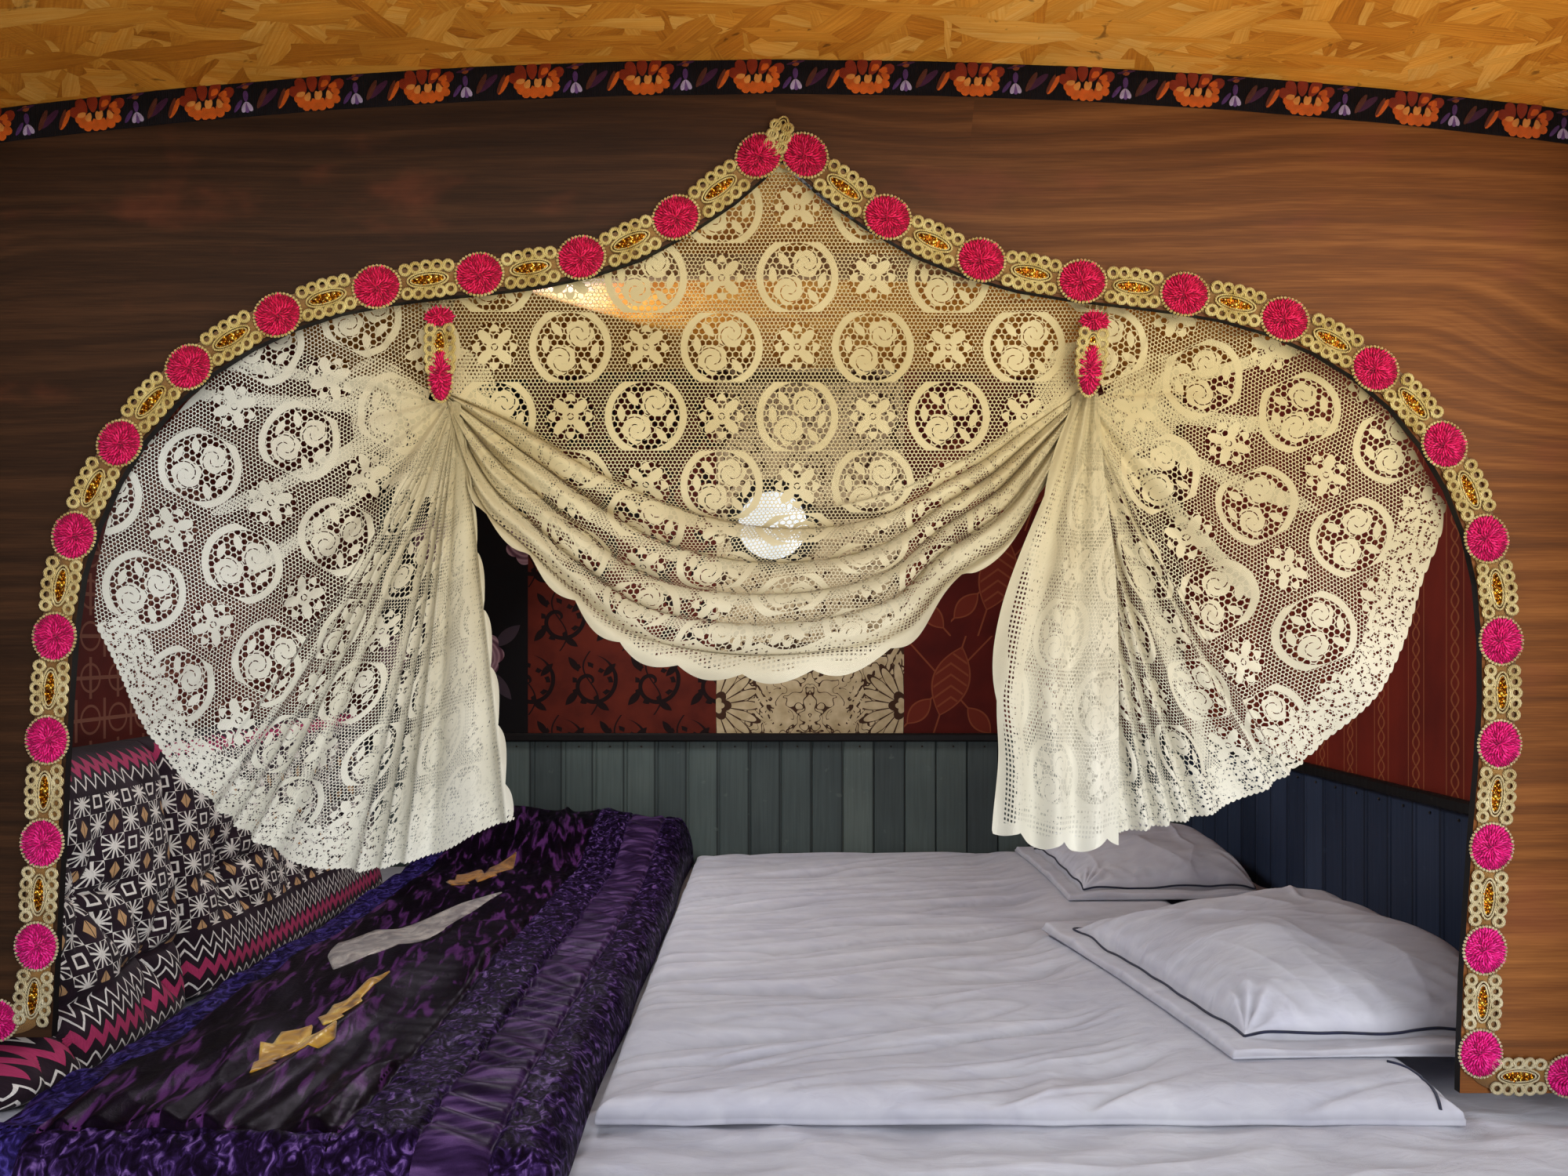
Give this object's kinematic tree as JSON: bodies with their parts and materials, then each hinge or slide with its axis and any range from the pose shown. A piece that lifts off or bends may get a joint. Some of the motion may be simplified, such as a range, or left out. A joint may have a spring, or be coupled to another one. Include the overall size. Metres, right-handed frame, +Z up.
{
  "type": "living wagon bed-place",
  "caption": "Sleeping end of a living wagon: arched screen with braid and lace drapes, made-up bed over a cupboard, grooved and papered walls, round window and bowed roof",
  "frame": {"origin": "middle of the underside of the bearers, at the centre of the overall box", "axes": "+X across the wagon to the right as seen from inside, +Y towards the end wall, +Z up"},
  "size_m": [2.2746, 2.029, 2.1333],
  "materials": {
    "painted_boards": "blue-grey paint on grooved boards",
    "bare_timber": "planed softwood, unpainted",
    "strand_board": "orange-brown strand board, clear finish",
    "roof_felt": "green weatherproof roof skin",
    "black_paint": "black satin paint on wood",
    "stained_ply": "brown stained plywood, satin",
    "wall_paper": "patterned wall paper on board",
    "brass": "plain brass",
    "glass": "clear",
    "white_cotton": "white cotton",
    "purple_velvet": "crushed velvet",
    "ikat_cloth": "woven star pattern, matt",
    "lace_cotton": "cream machine lace",
    "rosette_braid": "magenta pleated braid with gold crochet",
    "woven_ribbon": "black ribbon with woven flowers"
  },
  "bodies": {
    "bed_place": {"arch_braid": "rosette_braid", "arch_screen": "stained_ply", "bearer_front": "bare_timber", "bearer_rear": "bare_timber", "bed_cleat_left": "bare_timber", "bed_cleat_right": "bare_timber", "bed_deck": "bare_timber", "bed_divider": "bare_timber", "bed_front": "painted_boards", "dado_end": "black_paint", "dado_left": "black_paint", "dado_right": "black_paint", "duvet": "white_cotton", "eaves_plate_left": "painted_boards", "eaves_plate_right": "painted_boards", "floor_boards": "bare_timber", "hinge_fixed_left": "brass", "hinge_fixed_right": "brass", "lace_left": "lace_cotton", "lace_right": "lace_cotton", "lace_strap_left": "rosette_braid", "lace_strap_right": "rosette_braid", "lace_swag": "lace_cotton", "mattress": "white_cotton", "pillow_front": "white_cotton", "pillow_rear": "white_cotton", "quilt": "purple_velvet", "rib_end_left": "painted_boards", "rib_end_right": "painted_boards", "rib_left_1": "painted_boards", "rib_left_2": "painted_boards", "rib_left_3": "painted_boards", "rib_right_1": "painted_boards", "rib_right_2": "painted_boards", "rib_right_3": "painted_boards", "roof_boards_front": "strand_board", "roof_boards_rear": "strand_board", "roof_bow_front": "bare_timber", "roof_bow_mid": "bare_timber", "roof_ribbon": "woven_ribbon", "roof_skin": "roof_felt", "screen_cleat_left": "bare_timber", "screen_cleat_right": "bare_timber", "upper_wall_end": "wall_paper", "upper_wall_left": "wall_paper", "upper_wall_right": "wall_paper", "wainscot_end": "painted_boards", "wainscot_left": "painted_boards", "wainscot_right": "painted_boards", "wall_pad_front": "ikat_cloth", "wall_pad_rear": "ikat_cloth", "window_glass": "glass", "window_ring_inner": "black_paint", "window_ring_outer": "black_paint"},
    "left_door": {"door_left": "painted_boards", "hinge_door_left": "brass", "knob_left": "brass"},
    "right_door": {"door_right": "painted_boards", "hinge_door_right": "brass", "knob_right": "brass"}
  },
  "joints": [
    {"name": "left_door_hinge", "type": "hinge", "parent": "bed_place", "child": "left_door", "pos_m": [-1.0075, -0.9926, 0.3], "axis": [0, 0, -1], "range_deg": [0, 95]},
    {"name": "right_door_hinge", "type": "hinge", "parent": "bed_place", "child": "right_door", "pos_m": [1.0075, -0.9926, 0.3], "axis": [0, 0, 1], "range_deg": [0, 95]}
  ]
}
